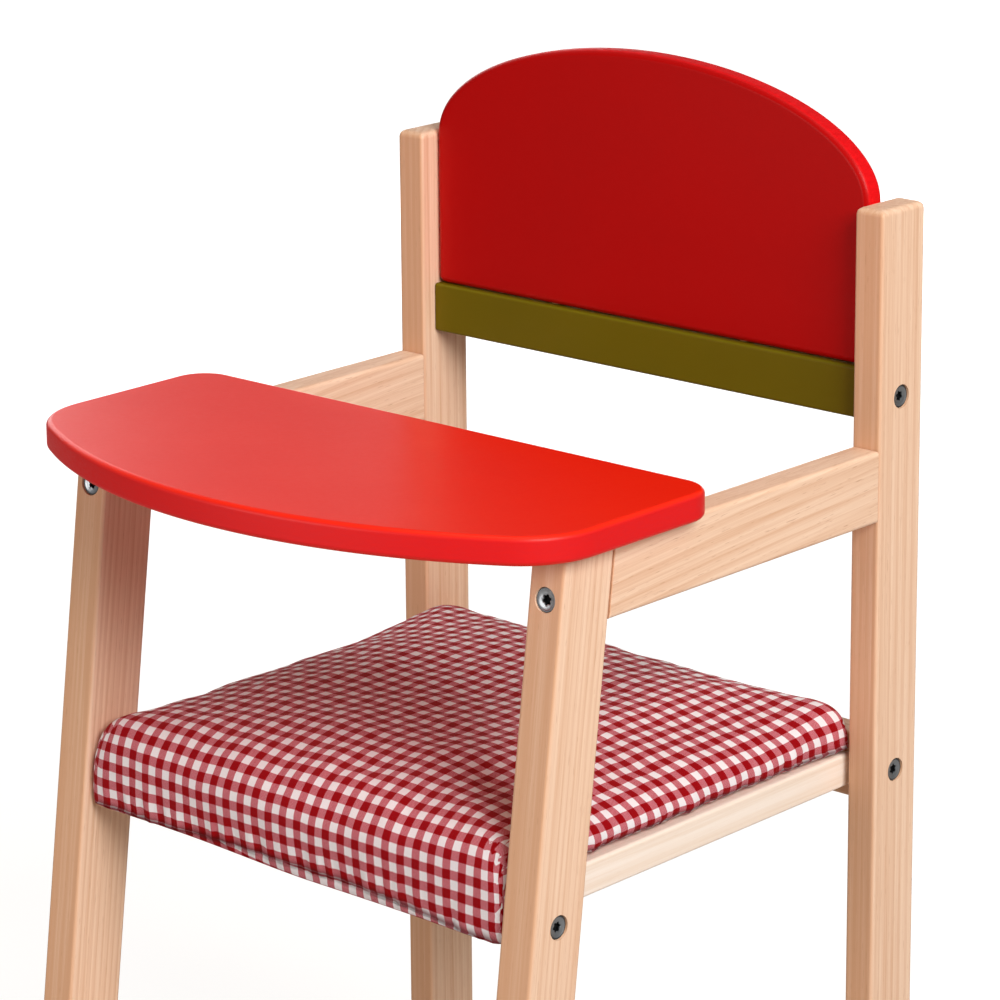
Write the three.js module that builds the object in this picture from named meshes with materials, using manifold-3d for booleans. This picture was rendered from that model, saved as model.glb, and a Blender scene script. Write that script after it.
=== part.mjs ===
// High chair for dolls: a wooden frame with a fixed tray, an arched backrest and a loose seat cushion.
// Lengths are millimetres. +Z is up, -Y is the front of the chair and +X is its left side as a doll sits.
// The origin lies on the floor, midway between the tray's front edge and the back of the rear legs.
import * as THREE from 'three';
import { mergeVertices } from 'three/addons/utils/BufferGeometryUtils.js';
import Module from 'manifold-3d';

const wasm = await Module();
wasm.setup();

// Overall sizes of the frame
const chair_width = 280;
const rear_leg_height = 505;
const arm_top_height = 400;
const arm_opening = 175;
const front_leg_lean_deg = 7.5;

// Sections of the frame timber
const leg_depth = 30;
const rear_leg_thickness = 15;
const front_leg_thickness = 18;
const leg_edge_radius = 3;
const leg_end_radius = 3.4;
const arm_thickness = 15;
const arm_height = 32;
const arm_edge_radius = 2;
const arm_end_radius = 2.2;

// Tray
const tray_side_overhang = 9.5;
const tray_depth = 148;
const tray_thickness = 12.5;
const tray_rear_gap = 120;
const tray_front_radius = 252;
const tray_front_corner_radius = 38;
const tray_rear_corner_radius = 16;
const tray_edge_radius = 2.5;

// Backrest and the rail under it
const panel_thickness = 11;
const panel_edge_radius = 3;
const panel_foot_radius = 3.4;
const panel_arch_rise = 51;
const panel_spring_below_leg_top = 1;
const back_rail_thickness = 15;
const back_rail_height = 23;
const back_rail_bottom_height = 410;
const rail_edge_radius = 1.5;

// Seat
const seat_board_thickness = 15;
const seat_board_height = 258;
const seat_board_edge_radius = 1.5;
const rear_seat_rail_thickness = 15;
const rear_seat_rail_height = 30;
const rear_seat_rail_middle_below_seat = 6;
const front_seat_rail_depth = 18;
const front_seat_rail_height = 15;
const front_seat_rail_middle_below_seat = 12;

// Footrest
const footrest_depth = 15;
const footrest_height = 23;
const footrest_middle_height = 112;

// Cushion
const cushion_crown = 31;
const cushion_seam_height = 7;
const cushion_front_reach = 6;
const cushion_front_drop = 22;
const cushion_front_belly = 4.5;
const cushion_front_shoulder = 3;
const cushion_side_gap = 0.5;
const cushion_rear_gap = 1;
const cushion_drawn_in = 2.5;
const cushion_crown_power_share = 0.28;
const cushion_columns = 18;
const cushion_rows = 12;

// Fixings: frame screws, the seat board's smaller screws, and dowels
const frame_screw = {
  head_radius: 5,
  head_height: 3.6,
  shank_radius: 3,
  length: 52,
  socket_width: 4,
  socket_depth: 2.4,
};
const board_screw = {
  head_radius: 3.8,
  head_height: 2.6,
  shank_radius: 2,
  length: 34,
  socket_width: 2.6,
  socket_depth: 1.6,
};
const screw_rim = 0.6;
const screw_sunk = 0.7;
const screw_tip = 2;
const dowel_radius = 3;
const dowel_chamfer = 0.8;
const tray_dowel_length = 19;
const tray_dowel_in_tray = 7;
const panel_dowel_length = 24;
const arm_front_screw_below_top = 18.6;
const panel_dowel_inset = 70;
const board_screw_inset = 60;

// Fits
const joint_gap = 0.3;
const bore_clearance = 0.3;
const overrun = 1;

// Fineness of round forms
const corner_steps = 3;
const edge_steps = 2;
const tray_arc_steps = 20;
const arch_steps = 28;
const screw_sides = 14;
const socket_sides = 6;
const dowel_sides = 12;

// Places worked out from the sizes above
const lean = THREE.MathUtils.degToRad(front_leg_lean_deg);
const tray_width = chair_width + 2 * tray_side_overhang;
const chair_depth = tray_rear_gap + tray_depth + leg_depth;
const rear_leg_front_y = chair_depth / 2 - leg_depth;
const rear_leg_middle_y = rear_leg_front_y + leg_depth / 2;
const tray_rear_y = rear_leg_front_y - tray_rear_gap;
const tray_front_y = tray_rear_y - tray_depth;
const rear_leg_x = chair_width / 2 - rear_leg_thickness / 2;
const front_leg_x = chair_width / 2 - front_leg_thickness / 2;
const arm_x = chair_width / 2 - arm_thickness / 2;
const between_rear_legs = chair_width - 2 * rear_leg_thickness;
const between_front_legs = chair_width - 2 * front_leg_thickness;
const tray_underside = arm_top_height + joint_gap;
const rear_seat_rail_middle_height = seat_board_height - rear_seat_rail_middle_below_seat;
const front_seat_rail_middle_height = seat_board_height - front_seat_rail_middle_below_seat;

// Where the faces and the middle of a leaning front leg lie at a height
function frontLegRearY(z) {
  return rear_leg_front_y - arm_opening - (arm_top_height - z) * Math.tan(lean);
}

function frontLegFrontY(z) {
  return frontLegRearY(z) - leg_depth / Math.cos(lean);
}

function frontLegMiddleY(z) {
  return (frontLegRearY(z) + frontLegFrontY(z)) / 2;
}

// Materials
const beech = new THREE.MeshStandardMaterial({ color: 0xdcb083, roughness: 0.55, metalness: 0 });
const pale_wood = new THREE.MeshStandardMaterial({ color: 0xecd9b8, roughness: 0.6, metalness: 0 });
const red_lacquer = new THREE.MeshStandardMaterial({ color: 0xd01414, roughness: 0.3, metalness: 0 });
const lime_lacquer = new THREE.MeshStandardMaterial({ color: 0x8f9a1c, roughness: 0.35, metalness: 0 });
const gingham = new THREE.MeshStandardMaterial({ color: 0xc2556a, roughness: 0.9, metalness: 0 });
const dark_steel = new THREE.MeshStandardMaterial({ color: 0x55575a, roughness: 0.35, metalness: 1 });

// Solids: a geometry becomes a closed body that can be cut, and a body becomes a named mesh
function toSolid(geometry) {
  const bare = geometry.clone();
  bare.deleteAttribute('normal');
  bare.deleteAttribute('uv');
  const merged = mergeVertices(bare);
  const vertProperties = new Float32Array(merged.attributes.position.array);
  const triVerts = new Uint32Array(merged.index.array);
  return new wasm.Manifold(new wasm.Mesh({ numProp: 3, vertProperties, triVerts }));
}

function toMesh(name, solid, material) {
  const body = solid.getMesh();
  const geometry = new THREE.BufferGeometry();
  geometry.setAttribute('position', new THREE.BufferAttribute(new Float32Array(body.vertProperties), 3));
  geometry.setIndex(new THREE.BufferAttribute(new Uint32Array(body.triVerts), 1));
  geometry.computeVertexNormals();
  const mesh = new THREE.Mesh(geometry, material.clone());
  mesh.name = name;
  return mesh;
}

// Points of a round from one angle to another
function arcPoints(centre_x, centre_y, radius_x, radius_y, from, to, steps) {
  const points = [];
  for (let step = 0; step <= steps; step += 1) {
    const angle = from + (to - from) * step / steps;
    const offset = new THREE.Vector2(radius_x * Math.cos(angle), radius_y * Math.sin(angle));
    points.push(new THREE.Vector2(centre_x, centre_y).add(offset));
  }
  return points;
}

// A polygon whose corners, given anticlockwise, are each rounded to a radius
function roundedPolygon(corners) {
  const points = [];
  corners.forEach(([x, y, radius], index) => {
    const corner = new THREE.Vector2(x, y);
    const [before_x, before_y] = corners.at(index - 1);
    const [after_x, after_y] = corners[(index + 1) % corners.length];
    const before = new THREE.Vector2(before_x, before_y).sub(corner).normalize();
    const after = new THREE.Vector2(after_x, after_y).sub(corner).normalize();
    const half_angle = Math.acos(before.dot(after)) / 2;
    const to_centre = before.clone().add(after).normalize().multiplyScalar(radius / Math.sin(half_angle));
    const centre = corner.clone().add(to_centre);
    const start = before.clone().multiplyScalar(radius / Math.tan(half_angle)).add(corner).sub(centre);
    const turn = Math.PI - 2 * half_angle;
    const from = Math.atan2(start.y, start.x);
    points.push(...arcPoints(centre.x, centre.y, radius, radius, from, from + turn, corner_steps));
  });
  return new THREE.Shape(points);
}

// A board of an outline drawn in X and Y, centred on z = 0, with its rim rounded on both faces
function roundedBoard(outline, thickness, edge_radius) {
  const straight = thickness - 2 * edge_radius;
  const geometry = new THREE.ExtrudeGeometry(outline, {
    depth: straight,
    steps: 1,
    bevelEnabled: true,
    bevelThickness: edge_radius,
    bevelSize: edge_radius,
    bevelOffset: -edge_radius,
    bevelSegments: edge_steps,
  });
  geometry.translate(0, 0, -straight / 2);
  return geometry;
}

// The same board stood up, its outline drawn in Y and Z and its thickness along X
function sideBoard(corners, thickness, edge_radius) {
  const geometry = roundedBoard(roundedPolygon(corners), thickness, edge_radius);
  geometry.rotateZ(Math.PI / 2);
  geometry.rotateY(Math.PI / 2);
  return geometry;
}

// A bar along X with rounded long edges and square ends, centred on the origin
function crossBar(length, depth, height, edge_radius) {
  const y = depth / 2;
  const z = height / 2;
  const section = roundedPolygon([
    [-z, -y, edge_radius],
    [z, -y, edge_radius],
    [z, y, edge_radius],
    [-z, y, edge_radius],
  ]);
  const geometry = new THREE.ExtrudeGeometry(section, { depth: length, steps: 1, bevelEnabled: false });
  geometry.translate(0, 0, -length / 2);
  geometry.rotateY(Math.PI / 2);
  return geometry;
}

// A form turned about its own +Z, whose outline is pairs of radius and height from the foot up
function turned(profile, sides) {
  const points = profile.map(([radius, height]) => new THREE.Vector2(radius, height));
  const geometry = new THREE.LatheGeometry(points, sides);
  geometry.rotateX(Math.PI / 2);
  return geometry;
}

// Turn and move a form so that its own +Z points along a direction from a place
function aim(geometry, place, direction) {
  const turn = new THREE.Quaternion().setFromUnitVectors(new THREE.Vector3(0, 0, 1), direction);
  geometry.applyQuaternion(turn);
  geometry.translate(place.x, place.y, place.z);
  return geometry;
}

// A countersunk screw whose head faces +Z at the origin, with a six-sided socket
function screwForm(screw) {
  const body = turned([
    [0, -screw.length],
    [screw.shank_radius / 2, -screw.length],
    [screw.shank_radius, -screw.length + screw_tip],
    [screw.shank_radius, -screw.head_height],
    [screw.head_radius, -screw_rim],
    [screw.head_radius, 0],
    [0, 0],
  ], screw_sides);
  const socket = new THREE.CylinderGeometry(1, 1, 1, socket_sides);
  socket.rotateX(Math.PI / 2);
  const socket_radius = screw.socket_width / Math.sqrt(3);
  socket.scale(socket_radius, socket_radius, screw.socket_depth * 2);
  return { body, socket };
}

// The room that a screw takes in the timber, from outside the face to past its tip
function screwBore(screw) {
  const wide = screw.head_radius + bore_clearance;
  const narrow = screw.shank_radius + bore_clearance;
  return turned([
    [0, -screw.length - bore_clearance],
    [narrow, -screw.length - bore_clearance],
    [narrow, -screw.head_height - bore_clearance],
    [wide, -screw_rim - bore_clearance],
    [wide, screw_sunk + overrun],
    [0, screw_sunk + overrun],
  ], screw_sides);
}

function dowelForm(length) {
  return turned([
    [0, -length / 2],
    [dowel_radius - dowel_chamfer, -length / 2],
    [dowel_radius, -length / 2 + dowel_chamfer],
    [dowel_radius, length / 2 - dowel_chamfer],
    [dowel_radius - dowel_chamfer, length / 2],
    [0, length / 2],
  ], dowel_sides);
}

function dowelBore(length) {
  const radius = dowel_radius + bore_clearance;
  const reach = length / 2 + bore_clearance;
  return turned([[0, -reach], [radius, -reach], [radius, reach], [0, reach]], dowel_sides);
}

// Every fixing: its name, its solid, and the bore that it needs in the timber
const fixings = [];

function addScrew(name, screw, face_place, outward) {
  const direction = new THREE.Vector3(...outward).normalize();
  const place = new THREE.Vector3(...face_place).addScaledVector(direction, -screw_sunk);
  const { body, socket } = screwForm(screw);
  const solid = toSolid(aim(body, place, direction)).subtract(toSolid(aim(socket, place, direction)));
  const bore = toSolid(aim(screwBore(screw), place, direction));
  fixings.push({ name, solid, bore, material: dark_steel });
}

function addDowel(name, length, place) {
  const middle = new THREE.Vector3(...place);
  const up = new THREE.Vector3(0, 0, 1);
  const solid = toSolid(aim(dowelForm(length), middle, up));
  const bore = toSolid(aim(dowelBore(length), middle, up));
  fixings.push({ name, solid, bore, material: pale_wood });
}

const arm_screw_height = arm_top_height - arm_front_screw_below_top;
const back_rail_middle = back_rail_bottom_height + back_rail_height / 2;
const front_rail_middle_y = frontLegMiddleY(front_seat_rail_middle_height);
const front_rail_front_y = front_rail_middle_y - front_seat_rail_depth / 2;
const front_rail_rear_y = front_rail_middle_y + front_seat_rail_depth / 2;
const front_rail_top = front_seat_rail_middle_height + front_seat_rail_height / 2;
const rear_rail_front_y = rear_leg_middle_y - rear_seat_rail_thickness / 2;
const rear_rail_rear_y = rear_leg_middle_y + rear_seat_rail_thickness / 2;
const board_underside = seat_board_height - seat_board_thickness;
const board_middle_height = seat_board_height - seat_board_thickness / 2;
const board_lap_height = (front_rail_top + board_underside) / 2;
const tray_dowel_middle = tray_underside + tray_dowel_in_tray - tray_dowel_length / 2;
const leg_dowel_y = frontLegMiddleY(arm_top_height);
const arm_dowel_y = (frontLegRearY(arm_top_height) + tray_rear_y) / 2;
const panel_foot_height = back_rail_bottom_height + back_rail_height + joint_gap;

for (const [side_name, side] of [['left', 1], ['right', -1]]) {
  const outer_x = side * chair_width / 2;
  const board_screw_x = side * (between_front_legs / 2 - board_screw_inset);
  const lean_outward = [0, -Math.cos(lean), Math.sin(lean)];
  addScrew(`screw_arm_front_${side_name}`, frame_screw,
    [side * front_leg_x, frontLegFrontY(arm_screw_height), arm_screw_height], lean_outward);
  addScrew(`screw_arm_rear_${side_name}`, frame_screw,
    [side * arm_x, rear_leg_front_y + leg_depth, arm_top_height - arm_height / 2], [0, 1, 0]);
  addScrew(`screw_back_rail_${side_name}`, frame_screw,
    [outer_x, rear_leg_middle_y, back_rail_middle], [side, 0, 0]);
  addScrew(`screw_rear_seat_rail_${side_name}`, frame_screw,
    [outer_x, rear_leg_middle_y, rear_seat_rail_middle_height], [side, 0, 0]);
  addScrew(`screw_front_seat_rail_${side_name}`, frame_screw,
    [outer_x, front_rail_middle_y, front_seat_rail_middle_height], [side, 0, 0]);
  addScrew(`screw_footrest_${side_name}`, frame_screw,
    [outer_x, frontLegMiddleY(footrest_middle_height), footrest_middle_height], [side, 0, 0]);
  addScrew(`screw_board_front_${side_name}`, board_screw,
    [board_screw_x, front_rail_front_y, board_lap_height], [0, -1, 0]);
  addScrew(`screw_board_rear_${side_name}`, board_screw,
    [board_screw_x, rear_rail_rear_y, board_middle_height], [0, 1, 0]);
  addDowel(`dowel_tray_leg_${side_name}`, tray_dowel_length,
    [side * front_leg_x, leg_dowel_y, tray_dowel_middle]);
  addDowel(`dowel_tray_arm_${side_name}`, tray_dowel_length,
    [side * arm_x, arm_dowel_y, tray_dowel_middle]);
  addDowel(`dowel_panel_${side_name}`, panel_dowel_length,
    [side * (between_rear_legs / 2 - panel_dowel_inset), rear_leg_middle_y, panel_foot_height]);
}

// Frame pieces, each a geometry around its own place along X
function rearLeg() {
  const front = rear_leg_front_y;
  const rear = rear_leg_front_y + leg_depth;
  return sideBoard([
    [front, 0, leg_end_radius],
    [rear, 0, leg_end_radius],
    [rear, rear_leg_height, leg_end_radius],
    [front, rear_leg_height, leg_end_radius],
  ], rear_leg_thickness, leg_edge_radius);
}

function frontLeg() {
  return sideBoard([
    [frontLegFrontY(0), 0, leg_end_radius],
    [frontLegRearY(0), 0, leg_end_radius],
    [frontLegRearY(arm_top_height), arm_top_height, leg_end_radius],
    [frontLegFrontY(arm_top_height), arm_top_height, leg_end_radius],
  ], front_leg_thickness, leg_edge_radius);
}

function armrest() {
  const underside = arm_top_height - arm_height;
  const rear = rear_leg_front_y - joint_gap;
  return sideBoard([
    [frontLegRearY(underside) + joint_gap, underside, arm_end_radius],
    [rear, underside, arm_end_radius],
    [rear, arm_top_height, arm_end_radius],
    [frontLegRearY(arm_top_height) + joint_gap, arm_top_height, arm_end_radius],
  ], arm_thickness, arm_edge_radius);
}

// The tray's outline runs anticlockwise: bowed front, left side, straight rear edge, right side
function tray() {
  const side_x = tray_width / 2;
  const bow_centre_y = tray_front_y + tray_front_radius;
  const inner_radius = tray_front_radius - tray_front_corner_radius;
  const corner_x = side_x - tray_front_corner_radius;
  const corner_y = bow_centre_y - Math.sqrt(inner_radius ** 2 - corner_x ** 2);
  const bow_half_angle = Math.asin(corner_x / inner_radius);
  const down = -Math.PI / 2;
  const rear_x = side_x - tray_rear_corner_radius;
  const rear_y = tray_rear_y - tray_rear_corner_radius;
  const round = tray_front_corner_radius;
  const rear_round = tray_rear_corner_radius;
  const bow = arcPoints(0, bow_centre_y, tray_front_radius, tray_front_radius,
    down - bow_half_angle, down + bow_half_angle, tray_arc_steps);
  const left_front = arcPoints(corner_x, corner_y, round, round,
    down + bow_half_angle, 0, 2 * corner_steps);
  const left_rear = arcPoints(rear_x, rear_y, rear_round, rear_round,
    0, Math.PI / 2, 2 * corner_steps);
  const right_rear = arcPoints(-rear_x, rear_y, rear_round, rear_round,
    Math.PI / 2, Math.PI, 2 * corner_steps);
  const right_front = arcPoints(-corner_x, corner_y, round, round,
    Math.PI, Math.PI + Math.PI / 2 - bow_half_angle, 2 * corner_steps);
  const left_side = [...left_front.slice(1), ...left_rear];
  const right_side = [...right_rear, ...right_front.slice(0, -1)];
  const outline = [...bow, ...left_side, ...right_side];
  const geometry = roundedBoard(new THREE.Shape(outline), tray_thickness, tray_edge_radius);
  geometry.translate(0, 0, tray_underside + tray_thickness / 2);
  return geometry;
}

// The backrest stands on the back rail between the rear legs, and its top is half an ellipse
function backrestPanel() {
  const half_width = between_rear_legs / 2 - joint_gap;
  const spring = rear_leg_height - panel_spring_below_leg_top;
  const foot = panel_foot_height;
  const inset = half_width - panel_foot_radius;
  const round = panel_foot_radius;
  const down = -Math.PI / 2;
  const outline = [
    ...arcPoints(-inset, foot + round, round, round, -Math.PI, down, corner_steps),
    ...arcPoints(inset, foot + round, round, round, down, 0, corner_steps),
    ...arcPoints(0, spring, half_width, panel_arch_rise, 0, Math.PI, arch_steps),
  ];
  const geometry = roundedBoard(new THREE.Shape(outline), panel_thickness, panel_edge_radius);
  geometry.rotateX(Math.PI / 2);
  geometry.translate(0, rear_leg_middle_y, 0);
  return geometry;
}

function backRail() {
  const length = between_rear_legs - 2 * joint_gap;
  const geometry = crossBar(length, back_rail_thickness, back_rail_height, rail_edge_radius);
  geometry.translate(0, rear_leg_middle_y, back_rail_middle);
  return geometry;
}

function rearSeatRail() {
  const length = between_rear_legs - 2 * joint_gap;
  const geometry = crossBar(length, rear_seat_rail_thickness, rear_seat_rail_height, rail_edge_radius);
  geometry.translate(0, rear_leg_middle_y, rear_seat_rail_middle_height);
  return geometry;
}

function frontSeatRail() {
  const length = between_front_legs - 2 * joint_gap;
  const geometry = crossBar(length, front_seat_rail_depth, front_seat_rail_height, rail_edge_radius);
  geometry.translate(0, front_rail_middle_y, front_seat_rail_middle_height);
  return geometry;
}

function footrest() {
  const length = between_front_legs - 2 * joint_gap;
  const geometry = crossBar(length, footrest_depth, footrest_height, rail_edge_radius);
  geometry.translate(0, frontLegMiddleY(footrest_middle_height), footrest_middle_height);
  return geometry;
}

// The seat board fills the space between the two seat rails and passes between the legs
function seatBoard() {
  const front = front_rail_rear_y + joint_gap;
  const rear = rear_rail_front_y - joint_gap;
  const length = rear - front;
  const width = between_front_legs - 2 * joint_gap;
  const geometry = crossBar(length, width, seat_board_thickness, seat_board_edge_radius);
  geometry.rotateZ(Math.PI / 2);
  geometry.translate(0, (front + rear) / 2, board_middle_height);
  return geometry;
}

// The cushion lies on the board and hangs over the front rail. Its top is crowned, its sides are drawn in
// between the corners, and one seam runs round it low down.
function cushion() {
  const half_width = between_front_legs / 2 - cushion_side_gap;
  const rear = rear_rail_front_y - cushion_rear_gap;
  const front = front_rail_front_y - cushion_front_reach;
  const lip = front_rail_front_y - joint_gap;
  const crown_height = seat_board_height + joint_gap + cushion_crown;
  const rests = (y) => {
    if (y >= front_rail_rear_y) return seat_board_height + joint_gap;
    if (y >= lip) return front_rail_top + joint_gap;
    return seat_board_height - cushion_front_drop;
  };
  const row_places = [front, (front + lip) / 2, lip - joint_gap, lip];
  row_places.push(front_rail_rear_y - cushion_front_shoulder);
  for (let row = 0; row <= cushion_rows; row += 1) {
    const turn = Math.PI / 2 * row / cushion_rows;
    row_places.push(front_rail_rear_y + (rear - front_rail_rear_y) * Math.sin(turn));
  }
  const rows = row_places.length - 1;
  const top = [];
  const bottom = [];
  row_places.forEach((place, row) => {
    const along = 1 - 2 * (place - front) / (rear - front);
    const rest = rests(place);
    const seam = rest + (place < lip ? cushion_front_belly : cushion_seam_height);
    for (let column = 0; column <= cushion_columns; column += 1) {
      const across = -Math.cos(Math.PI * column / cushion_columns);
      const drawn_side = Math.sign(across) * cushion_drawn_in * (1 - along ** 2) * across ** 2;
      const drawn_end = cushion_drawn_in * (1 - across ** 2);
      const x = across * half_width - drawn_side;
      let y = place;
      if (place < lip) y += drawn_end * (lip - place) / (lip - front);
      if (along < 0) y -= drawn_end * along ** 8;
      const on_rim = row === 0 || row === rows || column === 0 || column === cushion_columns;
      const swell = on_rim ? 0 : ((1 - across ** 4) * (1 - along ** 8)) ** cushion_crown_power_share;
      top.push([x, y, THREE.MathUtils.lerp(seam, crown_height, swell)]);
      bottom.push([x, y, THREE.MathUtils.lerp(seam, rest, Math.min(1, 2 * swell))]);
    }
  });
  return closedSheet(top, bottom, rows, cushion_columns);
}

// A closed skin over two grids of points that share their rim
function closedSheet(top, bottom, rows, columns) {
  const positions = new Float32Array([...top, ...bottom].flat());
  const second = top.length;
  const faces = [];
  for (let row = 0; row < rows; row += 1) {
    for (let column = 0; column < columns; column += 1) {
      const a = row * (columns + 1) + column;
      const b = a + 1;
      const c = a + columns + 2;
      const d = a + columns + 1;
      faces.push(a, b, c, a, c, d);
      faces.push(second + a, second + c, second + b, second + a, second + d, second + c);
    }
  }
  const geometry = new THREE.BufferGeometry();
  geometry.setAttribute('position', new THREE.BufferAttribute(positions, 3));
  geometry.setIndex(faces);
  return geometry;
}

const chair = new THREE.Group();

// Timber is bored for every fixing that reaches it
function addTimber(name, geometry, material, x = 0) {
  geometry.translate(x, 0, 0);
  let solid = toSolid(geometry);
  for (const fixing of fixings) {
    solid = solid.subtract(fixing.bore);
  }
  chair.add(toMesh(name, solid, material));
}

for (const [side_name, side] of [['left', 1], ['right', -1]]) {
  addTimber(`rear_leg_${side_name}`, rearLeg(), beech, side * rear_leg_x);
  addTimber(`front_leg_${side_name}`, frontLeg(), beech, side * front_leg_x);
  addTimber(`armrest_${side_name}`, armrest(), beech, side * arm_x);
}
addTimber('tray', tray(), red_lacquer);
addTimber('backrest_panel', backrestPanel(), red_lacquer);
addTimber('back_rail', backRail(), lime_lacquer);
addTimber('rear_seat_rail', rearSeatRail(), beech);
addTimber('front_seat_rail', frontSeatRail(), beech);
addTimber('seat_board', seatBoard(), pale_wood);
addTimber('footrest', footrest(), beech);
chair.add(toMesh('cushion', toSolid(cushion()), gingham));
for (const { name, solid, material } of fixings) {
  chair.add(toMesh(name, solid, material));
}

export default chair;
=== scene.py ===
"""Looks of the doll high chair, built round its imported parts. Lengths are metres."""

import math

import bmesh
import bpy
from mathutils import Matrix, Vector, noise


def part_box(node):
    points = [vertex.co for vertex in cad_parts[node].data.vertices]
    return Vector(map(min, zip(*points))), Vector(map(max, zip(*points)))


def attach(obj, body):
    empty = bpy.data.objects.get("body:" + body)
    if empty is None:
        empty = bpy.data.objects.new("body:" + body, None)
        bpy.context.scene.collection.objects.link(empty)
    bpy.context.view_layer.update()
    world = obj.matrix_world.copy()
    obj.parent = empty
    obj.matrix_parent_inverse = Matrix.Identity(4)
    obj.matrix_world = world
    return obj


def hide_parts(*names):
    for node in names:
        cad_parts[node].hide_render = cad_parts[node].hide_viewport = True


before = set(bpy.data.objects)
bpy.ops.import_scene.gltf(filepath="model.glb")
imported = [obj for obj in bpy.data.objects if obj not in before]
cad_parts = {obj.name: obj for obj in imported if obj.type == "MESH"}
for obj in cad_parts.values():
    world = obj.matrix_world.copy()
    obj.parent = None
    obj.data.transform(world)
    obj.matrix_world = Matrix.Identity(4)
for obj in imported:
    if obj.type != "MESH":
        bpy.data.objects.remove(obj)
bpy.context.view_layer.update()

# Sizes of the frame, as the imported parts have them
LEAN = math.radians(7.5)
WIDTH = 0.280
REAR_FRONT_Y = 0.119
REAR_BACK_Y = 0.149
REAR_MIDDLE_Y = (REAR_FRONT_Y + REAR_BACK_Y) / 2
REAR_TOP = 0.505
ARM_TOP = 0.400
ARM_HEIGHT = 0.032
ARM_LENGTH = 0.175
BOARD_TOP = 0.258
BOARD_THICK = 0.015
BACK_RAIL = (0.410, 0.433)
REAR_SEAT_RAIL = (0.237, 0.267)
FRONT_SEAT_RAIL = (0.2385, 0.2535)
FOOTREST = (0.1005, 0.1235)
RAIL_THICK = 0.015
FRONT_RAIL_DEPTH = 0.018
LEG_THICK = 0.015
FRONT_THICK = 0.018
LEG_DEPTH = 0.030
FIT = 0.0003
FRONT_LEG_X = 0.131
REAR_LEG_X = 0.1325
BOARD_SCREW_X = 0.062
SIDES = (("left", 1), ("right", -1))

# Roundings. A leg's long edges and an armrest's ends have a share of the piece's own rounding
LEG_ROUNDING = 0.003
LEG_EDGE_SHARE = 0.57
ARM_ROUNDING = 0.002
ARM_END_SHARE = 0.25
BOARD_ROUNDING = 0.003
TRAY_ROUNDING = 0.0025
RAIL_ROUNDING = 0.0015
FRONT_RAIL_ROUNDING = 0.001
SAWN_ROUNDING = 0.0003

FRAME_SCREW = {"head": 0.005, "rim": 0.0006, "cone": 0.0036, "shank": 0.003, "length": 0.052,
               "socket": 0.0021, "deep": 0.0024}
BOARD_SCREW = {"head": 0.0038, "rim": 0.0006, "cone": 0.0026, "shank": 0.002, "length": 0.034,
               "socket": 0.0015, "deep": 0.0016}
SUNK = 0.0007
DOWEL_BORE = 0.0033

# The gingham's repeat, and the steps of the cushion's grid: from seam to seam, and up its walls
CHECK = 0.0084
STEPS = 72
WALL = 8


def front_leg_rear_y(height):
    """The y of a front leg's rear face at a height."""
    return REAR_FRONT_Y - ARM_LENGTH - (ARM_TOP - height) * math.tan(LEAN)


def front_leg_front_y(height):
    return front_leg_rear_y(height) - LEG_DEPTH / math.cos(LEAN)


def front_leg_middle_y(height):
    return (front_leg_front_y(height) + front_leg_rear_y(height)) / 2


def midway(span):
    return (span[0] + span[1]) / 2


def clamped(value):
    return max(0.0, min(1.0, value))


def values_of(obj, attribute):
    return [item.value for item in obj.data.attributes[attribute].data]


# Working on meshes as by hand


def clear_selection():
    bpy.ops.object.select_all(action="DESELECT")


def choose(obj):
    clear_selection()
    obj.select_set(True)
    bpy.context.view_layer.objects.active = obj


def mark(action="SELECT"):
    """Selects, or deselects, all of the mesh in edit mode."""
    bpy.ops.mesh.select_all(action=action)


def open_mesh(obj):
    """Enters edit mode with nothing selected."""
    choose(obj)
    bpy.ops.object.mode_set(mode="EDIT")
    mark("DESELECT")


def close_mesh():
    bpy.ops.object.mode_set(mode="OBJECT")


def fix_place(obj):
    """Puts an object's place, turn and size into its mesh."""
    choose(obj)
    bpy.ops.object.transform_apply(location=True, rotation=True, scale=True)


def settle(obj, name):
    """Names a new primitive and fixes its place."""
    obj.name = name
    obj.data.name = name
    fix_place(obj)
    return obj


def carry(obj, attribute, values, kind="FLOAT", domain="POINT"):
    """Gives each vertex or face of a mesh a number that goes with it."""
    data = obj.data.attributes.new(attribute, kind, domain).data
    for item, value in zip(data, values):
        item.value = value


def middle_of(element):
    if isinstance(element, bmesh.types.BMVert):
        return element.co
    return sum((v.co for v in element.verts), Vector()) / len(element.verts)


def pick(obj, kind, test):
    """Selects, in edit mode, the elements of a kind that pass a test on themselves and their middle."""
    bpy.ops.mesh.select_mode(type=kind)
    mark("DESELECT")
    form = bmesh.from_edit_mesh(obj.data)
    elements = {"VERT": form.verts, "EDGE": form.edges, "FACE": form.faces}[kind]
    for element in elements:
        if test(element, middle_of(element)):
            element.select_set(True)
    bmesh.update_edit_mesh(obj.data)


def outward_faces():
    mark()
    bpy.ops.mesh.normals_make_consistent(inside=False)


def round_edges(radius, segments):
    """Rounds the selected edges."""
    bpy.ops.mesh.bevel(offset=radius, offset_type="OFFSET", segments=segments, profile=0.5,
                       affect="EDGES")


def ease_edges(obj, radius, segments, share, full):
    """Rounds the edges that pass a test by a radius, and all others by a share of it."""
    mark()
    bpy.ops.transform.edge_bevelweight(value=share)
    pick(obj, "EDGE", full)
    bpy.ops.transform.edge_bevelweight(value=1 - share)
    close_mesh()
    apply_modifier(obj, "BEVEL", width=radius, segments=segments, limit_method="WEIGHT")


def apply_modifier(obj, kind, **settings):
    choose(obj)
    modifier = obj.modifiers.new(kind.title(), kind)
    for key, value in settings.items():
        setattr(modifier, key, value)
    bpy.ops.object.modifier_apply(modifier=modifier.name)


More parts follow.
